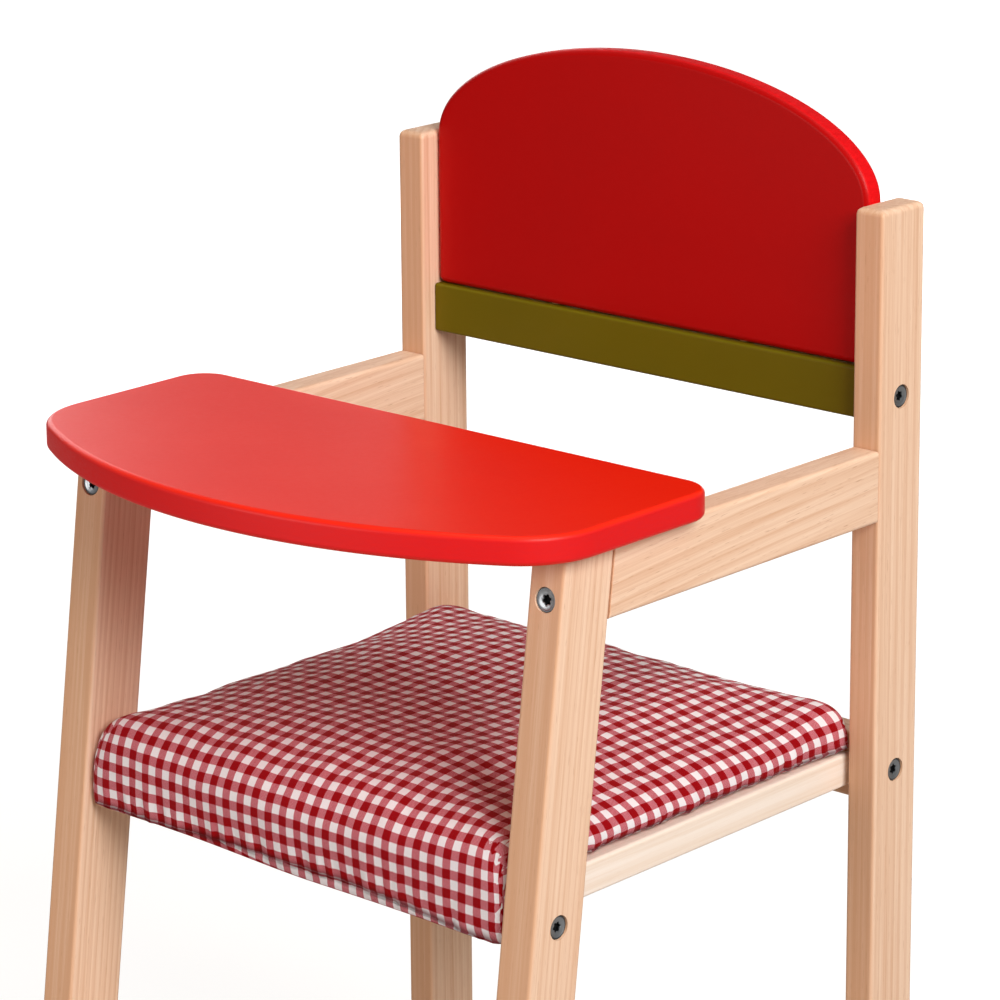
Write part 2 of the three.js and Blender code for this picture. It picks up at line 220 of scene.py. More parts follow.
def smooth(obj):
    """Smooth shading that keeps flat faces flat and hard edges hard."""
    choose(obj)
    bpy.ops.object.shade_smooth_by_angle(angle=math.radians(38))
    apply_modifier(obj, "WEIGHTED_NORMAL", keep_sharp=True, weight=60)


def block(name, low, high):
    """A block between two corners."""
    clear_selection()
    low, high = Vector(low), Vector(high)
    bpy.ops.mesh.primitive_cube_add(size=1, location=(low + high) / 2, scale=high - low)
    return settle(bpy.context.object, name)


def turned(name, rings, sides):
    """A solid turned about the Z axis: rings of radius and height, drawn from the first to the last."""
    clear_selection()
    radius, height = rings[0]
    bpy.ops.mesh.primitive_circle_add(vertices=sides, radius=radius, fill_type="NGON",
                                      location=(0, 0, height))
    obj = settle(bpy.context.object, name)
    open_mesh(obj)
    mark()
    for (radius, height), (next_radius, next_height) in zip(rings, rings[1:]):
        rise = (0, 0, next_height - height)
        bpy.ops.mesh.extrude_region_move(TRANSFORM_OT_translate={"value": rise})
        share = next_radius / radius
        bpy.ops.transform.resize(value=(share, share, 1), center_override=(0, 0, next_height))
    outward_faces()
    close_mesh()
    return obj


def outline(name, start, strokes, axis):
    """A closed outline drawn from a point by straight strokes and arcs, then filled as one face."""
    clear_selection()
    bpy.ops.mesh.primitive_plane_add(size=0.01, location=start)
    obj = settle(bpy.context.object, name)
    open_mesh(obj)
    bpy.ops.mesh.select_mode(type="VERT")
    mark()
    bpy.ops.mesh.merge(type="CENTER")
    for stroke in strokes:
        if "to" in stroke:
            bpy.ops.mesh.extrude_region_move(TRANSFORM_OT_translate={"value": stroke["to"]})
        else:
            bpy.ops.mesh.spin(steps=stroke["steps"], angle=-stroke["turn"],
                              center=stroke["centre"], axis=axis)
    mark()
    bpy.ops.mesh.remove_doubles(threshold=0.00001)
    mark()
    bpy.ops.mesh.edge_face_add()
    return obj


def thicken(rise, radius):
    """Gives a filled outline in edit mode its thickness, and rounds the rims of both faces."""
    bpy.ops.mesh.extrude_region_move(TRANSFORM_OT_translate={"value": rise})
    outward_faces()
    mark("DESELECT")
    bpy.ops.mesh.select_mode(type="EDGE")
    bpy.ops.mesh.edges_select_sharp(sharpness=math.radians(40))
    round_edges(radius, 6)
    close_mesh()


# Fixings: where each screw's head lies, and the way it faces


def screw_places():
    """Each screw's kind, the place of its head in the timber's face, and the way that it faces."""
    arm_screw_z = ARM_TOP - 0.0186
    seat_rail_z = midway(FRONT_SEAT_RAIL)
    seat_rail_y = front_leg_middle_y(seat_rail_z)
    foot_z = midway(FOOTREST)
    lap_z = (FRONT_SEAT_RAIL[1] + BOARD_TOP - BOARD_THICK) / 2
    board_z = BOARD_TOP - BOARD_THICK / 2
    front, rear = (0, -1, 0), (0, 1, 0)
    lean_out = (0, -math.cos(LEAN), math.sin(LEAN))
    places = {}
    for side, sign in SIDES:
        outer = sign * WIDTH / 2
        out = (sign, 0, 0)
        board_x = sign * BOARD_SCREW_X
        for name, kind, place, way in (
            ("arm_front", FRAME_SCREW,
             (sign * FRONT_LEG_X, front_leg_front_y(arm_screw_z), arm_screw_z), lean_out),
            ("arm_rear", FRAME_SCREW, (sign * REAR_LEG_X, REAR_BACK_Y, ARM_TOP - ARM_HEIGHT / 2), rear),
            ("back_rail", FRAME_SCREW, (outer, REAR_MIDDLE_Y, midway(BACK_RAIL)), out),
            ("rear_seat_rail", FRAME_SCREW, (outer, REAR_MIDDLE_Y, midway(REAR_SEAT_RAIL)), out),
            ("front_seat_rail", FRAME_SCREW, (outer, seat_rail_y, seat_rail_z), out),
            ("footrest", FRAME_SCREW, (outer, front_leg_middle_y(foot_z), foot_z), out),
            ("board_front", BOARD_SCREW, (board_x, seat_rail_y - FRONT_RAIL_DEPTH / 2, lap_z), front),
            ("board_rear", BOARD_SCREW, (board_x, REAR_MIDDLE_Y + RAIL_THICK / 2, board_z), rear),
        ):
            places[f"screw_{name}_{side}"] = (kind, place, way)
    return places


SCREWS = screw_places()
DOWELS = [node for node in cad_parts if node.startswith("dowel")]


def aim(obj, place, direction, twist=0.0):
    """Stands a form that faces +Z at a place, facing a direction, and puts that into its mesh."""
    turn = Vector(direction).to_track_quat("Z", "Y").to_matrix().to_4x4()
    obj.rotation_euler = (0, 0, twist)
    fix_place(obj)
    obj.rotation_euler = turn.to_euler()
    obj.location = place
    fix_place(obj)


def copy_of(obj, name):
    twin = obj.copy()
    twin.data = obj.data.copy()
    twin.name = name
    twin.data.name = name
    bpy.context.scene.collection.objects.link(twin)
    return twin


def boring_forms():
    """The forms that are cut out of the timber: one for each screw and each dowel."""
    forms = []
    for kind, screw in (("frame", FRAME_SCREW), ("board", BOARD_SCREW)):
        wide = screw["head"] + FIT
        narrow = screw["shank"] + FIT
        pattern = turned(f"bore_{kind}", [
            (narrow, -screw["length"] - FIT),
            (narrow, -screw["cone"] - FIT),
            (wide, -screw["rim"] - FIT),
            (wide, 0.002),
        ], 40)
        for name, (own, place, direction) in SCREWS.items():
            if own is screw:
                form = copy_of(pattern, f"bore_{name}")
                aim(form, Vector(place) - Vector(direction) * SUNK, direction)
                forms.append(form)
        bpy.data.objects.remove(pattern)
    for node in DOWELS:
        low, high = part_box(node)
        centre = (low + high) / 2
        form = turned(f"bore_{node}", [
            (DOWEL_BORE, low.z - FIT),
            (DOWEL_BORE, centre.z),
            (DOWEL_BORE, high.z + FIT),
        ], 24)
        form.location = (centre.x, centre.y, 0)
        fix_place(form)
        forms.append(form)
    return forms


def corners_of(obj):
    points = [obj.matrix_world @ Vector(corner) for corner in obj.bound_box]
    low = Vector([min(p[axis] for p in points) for axis in range(3)])
    high = Vector([max(p[axis] for p in points) for axis in range(3)])
    return low, high


def bore(obj, forms):
    """Cuts the boring forms out of a piece. The script stops if a cut has lost the piece."""
    low, high = corners_of(obj)
    for form in forms:
        form_low, form_high = corners_of(form)
        if all(form_low[axis] < high[axis] and form_high[axis] > low[axis] for axis in range(3)):
            apply_modifier(obj, "BOOLEAN", operation="DIFFERENCE", solver="EXACT", object=form)
    left_low, left_high = corners_of(obj)
    allowed = 0.0005
    if (left_low - low).length > allowed or (left_high - high).length > allowed:
        raise ValueError(f"{obj.name} is lost in a cut")


# Pieces of the frame


def leg(name, low, high, lean, forms):
    obj = block(name, low, high)
    open_mesh(obj)
    pick(obj, "VERT", lambda v, at: at.z > (low[2] + high[2]) / 2)
    bpy.ops.transform.translate(value=(0, lean, 0))
    ease_edges(obj, LEG_ROUNDING, 6, LEG_EDGE_SHARE, lambda e, at: at.z > high[2] - 0.001)
    bore(obj, forms)
    smooth(obj)
    return obj


def armrest(name, left, right, forms):
    front = front_leg_rear_y(ARM_TOP) + FIT
    under = ARM_TOP - ARM_HEIGHT
    obj = block(name, (left, front, under), (right, REAR_FRONT_Y - FIT, ARM_TOP))
    open_mesh(obj)
    pick(obj, "VERT", lambda v, at: at.y < 0 and at.z < under + 0.001)
    bpy.ops.transform.translate(value=(0, front_leg_rear_y(under) - front_leg_rear_y(ARM_TOP), 0))
    ease_edges(obj, ARM_ROUNDING, 5, ARM_END_SHARE,
               lambda e, at: abs(e.verts[0].co.y - e.verts[1].co.y) > 0.05)
    bore(obj, forms)
    smooth(obj)
    return obj


def bar(name, low, high, radius, forms, along="x"):
    """A bar with its long edges rounded and its sawn ends only broken."""
    axis = "xyz".index(along)
    obj = block(name, low, high)
    open_mesh(obj)
    pick(obj, "EDGE", lambda e, at: abs((e.verts[0].co - e.verts[1].co)[axis]) > 0.01)
    round_edges(radius, 5)
    ends = (low[axis], high[axis])
    pick(obj, "EDGE", lambda e, at: all(min(abs(v.co[axis] - end) for end in ends) < 1e-6
                                        for v in e.verts))
    round_edges(SAWN_ROUNDING, 2)
    close_mesh()
    bore(obj, forms)
    smooth(obj)
    return obj


def tray(name, forms):
    side = 0.1495
    front = -0.149
    rear = -0.001
    under = ARM_TOP + FIT
    thickness = 0.0125
    bow = 0.252
    corner = 0.038
    rear_corner = 0.016
    centre_y = front + bow
    inner = bow - corner
    corner_x = side - corner
    corner_y = centre_y - math.sqrt(inner ** 2 - corner_x ** 2)
    half_turn = math.asin(corner_x / inner)
    start = (-bow * math.sin(half_turn), centre_y - bow * math.cos(half_turn), under)
    quarter = math.pi / 2
    obj = outline(name, start, [
        {"centre": (0, centre_y, under), "turn": 2 * half_turn, "steps": 48},
        {"centre": (corner_x, corner_y, under), "turn": quarter - half_turn, "steps": 14},
        {"to": (0, rear - rear_corner - corner_y, 0)},
        {"centre": (side - rear_corner, rear - rear_corner, under), "turn": quarter, "steps": 12},
        {"to": (2 * rear_corner - 2 * side, 0, 0)},
        {"centre": (rear_corner - side, rear - rear_corner, under), "turn": quarter, "steps": 12},
        {"to": (0, corner_y - rear + rear_corner, 0)},
        {"centre": (-corner_x, corner_y, under), "turn": quarter - half_turn, "steps": 14},
    ], (0, 0, 1))
    thicken((0, 0, thickness), TRAY_ROUNDING)
    bore(obj, forms)
    smooth(obj)
    return obj


def backrest(name, forms):
    half = 0.1247
    front = 0.1285
    foot = BACK_RAIL[1] + FIT
    spring = 0.504
    rise = 0.051
    corner = 0.0034
    thickness = 0.011
    quarter = math.pi / 2
    obj = outline(name, (half, front, spring), [
        {"centre": (0, front, spring), "turn": math.pi, "steps": 72},
        {"to": (0, 0, foot + corner - spring)},
        {"centre": (corner - half, front, foot + corner), "turn": quarter, "steps": 6},
        {"to": (2 * half - 2 * corner, 0, 0)},
        {"centre": (half - corner, front, foot + corner), "turn": quarter, "steps": 6},
        {"to": (0, 0, spring - foot - corner)},
    ], (0, -1, 0))
    pick(obj, "VERT", lambda v, at: at.z > spring + 1e-6)
    bpy.ops.transform.resize(value=(1, 1, rise / half), center_override=(0, front, spring))
    mark()
    thicken((0, thickness, 0), BOARD_ROUNDING)
    bore(obj, forms)
    smooth(obj)
    return obj


def screw_pattern(name, screw):
    """A countersunk screw that faces +Z: rolled thread, plain neck, dished head, six-lobed socket."""
    head, shank, socket = screw["head"], screw["shank"], screw["socket"]
    rings = [(shank * 0.25, -screw["length"]), (shank * 0.6, -screw["length"] + 0.001)]
    turn_height = 0.0016
    height = -screw["length"] + 0.0025
    while height < -screw["cone"] - 0.010:
        rings += [(shank * 0.82, height), (shank, height + turn_height / 2)]
        height += turn_height
    rings += [
        (shank * 0.9, height), (shank * 0.9, -screw["cone"]),
        (head * 0.985, -screw["rim"]), (head, -screw["rim"] * 0.8), (head, -0.00016), (head * 0.965, 0),
        (head * 0.86, 0), (head * 0.8, -0.00018), (head * 0.6, -0.00034), (socket * 1.12, -0.0004),
        (socket, -0.00052), (socket * 0.97, -screw["deep"]), (socket * 0.3, -screw["deep"] - 0.0003),
    ]
    obj = turned(name, rings, 48)
    open_mesh(obj)
    for phase in range(5):
        lobe = math.cos(phase * math.pi / 4)
        share = 1 + 0.15 * lobe

        def on_lobe(v, at):
            reach = math.hypot(at.x, at.y)
            inside = socket * 0.9 < reach < socket * 1.2 and at.z > -screw["deep"] - 0.0001
            return inside and abs(math.cos(6 * math.atan2(at.y, at.x)) - lobe) < 0.01

        pick(obj, "VERT", on_lobe)
        bpy.ops.transform.resize(value=(share, share, 1), center_override=(0, 0, 0))
    close_mesh()
    carry(obj, "reach", [math.hypot(v.co.x, v.co.y) for v in obj.data.vertices])
    carry(obj, "depth", [-v.co.z for v in obj.data.vertices])
    choose(obj)
    bpy.ops.object.shade_smooth_by_angle(angle=math.radians(30))
    return obj


def fit_screws(paint):
    """Sets a copy of each pattern at each place, every screw stopped at an angle of its own."""
    patterns = [(FRAME_SCREW, screw_pattern("frame_screw", FRAME_SCREW)),
                (BOARD_SCREW, screw_pattern("board_screw", BOARD_SCREW))]
    for number, (node, (screw, place, direction)) in enumerate(SCREWS.items()):
        pattern = next(form for own, form in patterns if own is screw)
        obj = copy_of(pattern, f"{node}_turned")
        aim(obj, Vector(place) - Vector(direction) * SUNK, direction, twist=0.37 + 0.71 * number)
        dress(obj, paint, "dark_steel", "frame", node)
    for own, form in patterns:
        bpy.data.objects.remove(form)


def dress(obj, paint, slot, body, *nodes):
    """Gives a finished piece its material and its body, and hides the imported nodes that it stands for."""
    obj.data.materials.clear()
    obj.data.materials.append(paint)
    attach(obj, body)
    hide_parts(*nodes)


# Materials


def shade(red, green, blue):
    """A screen colour, 0 to 255, as the light that it stands for."""
    def light(value):
        value /= 255
        return value / 12.92 if value <= 0.04045 else ((value + 0.055) / 1.055) ** 2.4
    return (light(red), light(green), light(blue), 1)


class Amount:
    """A number that varies over a surface. Sums and products of amounts add Math nodes."""

    def __init__(self, finish, socket):
        self.finish = finish
        self.socket = socket

    def math(self, operation, *operands):
        made = self.finish.node("ShaderNodeMath", {"operation": operation}, dict(enumerate(operands)))
        return Amount(self.finish, made.outputs[0])

    def __add__(self, other):
        return self.math("ADD", self, other)

    __radd__ = __add__

    def __sub__(self, other):
        return self.math("SUBTRACT", self, other)

    def __rsub__(self, other):
        return self.math("SUBTRACT", other, self)

    def __mul__(self, other):
        return self.math("MULTIPLY", self, other)

    __rmul__ = __mul__

    def __truediv__(self, other):
        return self.math("DIVIDE", self, other)

    def __pow__(self, other):
        return self.math("POWER", self, other)

    def __abs__(self):
        return self.math("ABSOLUTE", self)

    def most(self, other):
        return self.math("MAXIMUM", self, other)

    def least(self, other):
        return self.math("MINIMUM", self, other)

    def part(self):
        """What is left after the whole number."""
        return self.math("FRACT", self)

    def step(self, low, high):
        """0 below low, 1 above high, and a smooth rise between. High may be the lower one."""
        made = self.finish.node("ShaderNodeMapRange", {"interpolation_type": "SMOOTHSTEP"},
                                {0: self, 1: low, 2: high, 3: 0.0, 4: 1.0})
        return Amount(self.finish, made.outputs[0])


def add_node(tree, kind, settings, inputs):
    """Adds a node: its settings first, then its sockets' values or links."""
    made = tree.nodes.new(kind)
    for key, value in settings.items():
        setattr(made, key, value)
    for key, value in inputs.items():
        socket = made.inputs[key]
        if isinstance(value, Amount):
            value = value.socket
        if isinstance(value, bpy.types.NodeSocket):
            tree.links.new(value, socket)
        else:
            socket.default_value = value
    return made


class Finish:
    """One material: a Principled surface, and what feeds it."""

    def __init__(self, name, **constants):
        self.material = bpy.data.materials.new(name)
        self.material.use_nodes = True
        self.tree = self.material.node_tree
        self.tree.nodes.clear()
        self.surface = self.node("ShaderNodeBsdfPrincipled", {}, constants)
        self.node("ShaderNodeOutputMaterial", {}, {"Surface": self.surface.outputs[0]})
        self.places = self.node("ShaderNodeTexCoord", {}, {})

    def node(self, kind, settings, inputs):
        return add_node(self.tree, kind, settings, inputs)

    def split(self, socket):
        made = self.node("ShaderNodeSeparateXYZ", {}, {0: socket})
        return [Amount(self, made.outputs[index]) for index in range(3)]

    def join(self, x, y, z):
        return self.node("ShaderNodeCombineXYZ", {}, {0: x, 1: y, 2: z}).outputs[0]

    def carried(self, attribute):
        """A number that the mesh carries at each of its vertices."""
        made = self.node("ShaderNodeAttribute", {"attribute_name": attribute}, {})
        return Amount(self, made.outputs["Fac"])

    def grain(self, vector, detail=2.0, roughness=0.5):
        """Noise from 0 to 1, about one feature to a unit of the vector."""
        made = self.node("ShaderNodeTexNoise", {"noise_dimensions": "3D"},
                         {"Vector": vector, "Scale": 1.0, "Detail": detail, "Roughness": roughness})
        return Amount(self, made.outputs["Fac"])

    def scaled(self, x, y, z, at=(0, 0, 0)):
        """Object coordinates, moved and stretched along each axis."""
        made = self.node("ShaderNodeMapping", {"vector_type": "POINT"},
                         {"Vector": self.places.outputs["Object"], "Location": at, "Scale": (x, y, z)})
        return made.outputs[0]

    def mixed(self, amount, one, other, how="MIX"):
        """A colour between two, or one colour worked on by another."""
        made = self.node("ShaderNodeMix", {"data_type": "RGBA", "blend_type": how},
                         {0: amount, 6: one, 7: other})
        return made.outputs[2]

    def edges(self):
        """1 on rounded edges and 0 on flat faces that lie square, or nearly, to the axes."""
        x, y, z = self.split(self.places.outputs["Normal"])
        return (1 - abs(x).most(abs(y)).most(abs(z))).step(0.03, 0.2)

    def feed(self, colour, roughness, height, strength, distance):
        """Links what varies over the surface to the surface's own sockets."""
        bump = self.node("ShaderNodeBump", {},
                         {"Strength": strength, "Distance": distance, "Height": height})
        for socket, value in (("Base Color", colour), ("Roughness", roughness.socket),
                              ("Normal", bump.outputs[0])):
            self.tree.links.new(value, self.surface.inputs[socket])
        return self.material


def timber(name, along, pale, deep, heart, seed, ring_gap=0.0032, lean=0.0, wander=0.005, fleck=0.3,
           slope=0.0):
    """Planed, varnished timber from a log whose heart lies beside it. Faces toward the front and rear are
    painted deeper, as painted shade.
    """
    finish = Finish(name, **{"Coat Weight": 0.06, "Coat Roughness": 0.3, "Coat IOR": 1.5,
                             "Specular IOR Level": 0.35})
    x, y, z = finish.split(finish.places.outputs["Object"])
    if lean:
        y = y - z * math.tan(lean)
    if slope:
        z = z - y * slope
    one, two, length = {"x": (y, z, x), "y": (x, z, y), "z": (x, y, z)}[along]

    def drawn(across, lengthwise, shift, **how):
        vector = finish.join(one * across + shift, two * across + (shift + seed),
                             length * lengthwise + seed)
        return finish.grain(vector, **how)

    sway = drawn(9, 2.6, 3.1 + seed, detail=1.5) - 0.5
    swing = drawn(11, 3.4, 7.7 + seed, detail=1.5) - 0.5
    reach_one = one + sway * wander - heart[0]
    reach_two = two + swing * wander - heart[1]
    radius = (reach_one * reach_one + reach_two * reach_two) ** 0.5
    drift = drawn(60, 3, 1.3)
    ring = (radius / ring_gap + drift * 0.9).part()
    late = ring.step(0.25, 0.92) * ring.step(1.0, 0.93)
    bands = drawn(520, 3.2, 5.9, detail=2.5, roughness=0.6)
    fibres = drawn(2100, 30, 2.2, detail=3.0, roughness=0.62)
    dashes = drawn(1900, 130, 9.4, detail=1.0).step(0.66, 0.76)
    tone = drawn(26, 2.4, 4.6, detail=2.0)
    # Painted shade: faces that look to the front or rear are painted deeper, as the shade that falls on
    # them.
    front_and_rear_painted_shade = abs(finish.split(finish.places.outputs["Normal"])[1])
    depth = late * 0.22 + (bands - 0.5) + (fibres - 0.5) * 0.7 + (tone - 0.5) * 0.5 + 0.33
    depth = depth + front_and_rear_painted_shade * 0.55
    colour = finish.mixed(depth.step(-0.15, 1.15), pale, deep)
    fleck_colour = (deep[0] * 0.7, deep[1] * 0.58, deep[2] * 0.5, 1)
    colour = finish.mixed(dashes * fleck, colour, fleck_colour)
    edges = finish.edges()
    worn_colour = (min(1, pale[0] * 1.06), pale[1] * 1.02, pale[2] * 0.98, 1)
    colour = finish.mixed(edges * 0.16, colour, worn_colour)
    roughness = 0.5 + (fibres - 0.5) * 0.22 + dashes * 0.12 - edges * 0.07
    height = fibres * 0.7 + bands * 0.3 - dashes * 0.8
    return finish.feed(colour, roughness, height, strength=0.2, distance=0.00012)


def lacquer(name, body, deep, sawn, faces=(0, 0, 1), gloss=0.2):
    """Sprayed satin lacquer: fine orange peel on the faces, and a drier coat on the sawn rim."""
    finish = Finish(name, **{"Coat Weight": gloss * 0.4, "Coat Roughness": 0.2, "Coat IOR": 1.5,
                             "Specular IOR Level": gloss})
    x, y, z = finish.split(finish.places.outputs["Normal"])
    square = abs(x) * faces[0] + abs(y) * faces[1] + abs(z) * faces[2]
    rim = square.step(0.75, 0.35)
    edge = square.step(0.985, 0.8) * square.step(0.1, 0.4)
    cloud = finish.grain(finish.scaled(14, 14, 14), detail=3.0)
    peel = finish.grain(finish.scaled(420, 420, 420), detail=2.0)
    grit = finish.grain(finish.scaled(1500, 1500, 1500), detail=2.0)
    fibre = finish.grain(finish.scaled(240, 240, 900, at=(3, 1, 2)), detail=3.0, roughness=0.65)
    specks = finish.grain(finish.scaled(2600, 2600, 2600, at=(5, 5, 5)), detail=1.0).step(0.72, 0.8)
    colour = finish.mixed((cloud - 0.5) * 0.5 + 0.3, body, deep)
    colour = finish.mixed(rim, colour, finish.mixed((fibre - 0.5) * 0.9 + 0.25, sawn, deep))
    thin_colour = (min(1, body[0] * 1.25), body[1] * 2 + 0.02, body[2] * 2 + 0.02, 1)
    colour = finish.mixed(edge * 0.12 + specks * 0.1, colour, thin_colour)
    roughness = 0.36 + (peel - 0.5) * 0.06 + rim * 0.07 + (cloud - 0.5) * 0.08 + (fibre - 0.5) * rim * 0.2
    height = peel * 0.55 + grit * 0.18 + fibre * rim * 1.4
    return finish.feed(colour, roughness, height, strength=0.16, distance=0.0002)


def steel(name):
    """Plated steel, turned: fine rings round the head, painted shade on the head's outer rim, and painted
    shade, near black, in the socket.
    """
    finish = Finish(name, Metallic=1.0)
    reach = finish.carried("reach")
    depth = finish.carried("depth")
    rings = finish.grain(finish.join(reach * 9000, 0.0, 0.0), detail=2.0)
    mottle = finish.grain(finish.scaled(900, 900, 900), detail=3.0)
    # Painted shade: the head's outer rim is darkened as the shade in the gap round it, and the socket is
    # painted near black as the shade inside it.
    rim = reach.step(0.0041, 0.0045) * depth.step(0.0008, 0.0002)
    hollow = depth.step(0.0005, 0.0013) * reach.step(0.0032, 0.0027)
    colour = finish.mixed(rings * 0.5 + mottle * 0.3, shade(150, 155, 160), shade(196, 201, 206))
    colour = finish.mixed(rim * 0.75, colour, shade(52, 55, 60))
    colour = finish.mixed(hollow * 0.95, colour, shade(10, 11, 12))
    roughness = 0.36 + (rings - 0.5) * 0.16 + hollow * 0.4 + (mottle - 0.5) * 0.12
    return finish.feed(colour, roughness, rings * 0.6 + mottle * 0.4, strength=0.2, distance=0.00004)


def gingham(name):
    """Plain-woven cotton check: white and red threads both ways, which follow the cloth's own map."""
    threads = 22
    finish = Finish(name, **{"Sheen Weight": 0.03, "Sheen Roughness": 0.5, "Specular IOR Level": 0.08})
    cloth = finish.node("ShaderNodeUVMap", {"uv_map": "cloth"}, {}).outputs[0]
    u, v = finish.split(cloth)[:2]
    slub = finish.grain(finish.join(u * 2.2, v * 2.2, 0.0), detail=2.0) - 0.5
    u_line = u + slub * 0.05
    v_line = v - slub * 0.05

    def stripes(line):
        return abs(line.part() - 0.5).step(0.238, 0.262)

    warp_red = stripes(u_line)
    weft_red = stripes(v_line)
    warp_at, weft_at = u * threads, v * threads
    over = ((warp_at.math("FLOOR", warp_at) + weft_at.math("FLOOR", weft_at)) * 0.5).part() * 2
    on_top = over * warp_red + (1 - over) * weft_red
    mean = (warp_red + weft_red) * 0.5
    red_share = mean * 0.7 + on_top * 0.3
    yarn = finish.grain(finish.join(warp_at * 1.7, weft_at * 1.7, 0.0), detail=2.0)
    colour = finish.mixed((red_share * 2).least(1.0), shade(250, 245, 249), shade(202, 62, 84))
    colour = finish.mixed((red_share * 2 - 1).most(0.0), colour, shade(158, 3, 14))
    colour = finish.mixed((yarn - 0.5) * 0.4 + 0.1, colour, shade(120, 30, 50), "MULTIPLY")
    seam = finish.carried("from_seam")
    gathered = seam.step(0.045, 0.0)
    sideways = finish.carried("at_the_side")
    at_the_side = finish.grain(finish.join(u * 0.35, v * 1.9, 0.0), detail=1.0) * sideways
    at_the_end = finish.grain(finish.join(u * 1.9, v * 0.35, 5.0), detail=1.0) * (1 - sideways)
    pucker = (at_the_side + at_the_end) * gathered
    # Painted shade: the cloth within a few threads of the seam is darkened, as the shade in the seam's
    # crease and under the cushion's overhang.
    colour = finish.mixed(seam.step(0.014, 0.0) * 0.75, colour, shade(110, 16, 34), "MULTIPLY")
    round_warp = 1 - abs(warp_at.part() - 0.5) * 2
    round_weft = 1 - abs(weft_at.part() - 0.5) * 2
    weave = over * round_warp + (1 - over) * round_weft
    roughness = 0.82 + (yarn - 0.5) * 0.2
    height = weave * 0.45 + yarn * 0.3 + pucker * 22
    return finish.feed(colour, roughness, height, strength=0.9, distance=0.00012)


# The cushion


def rims_of(column, row):
    """The steps from a crossing to its sheet's nearer side, and to its nearer end."""
    return min(column, STEPS - column), min(row, STEPS - row)


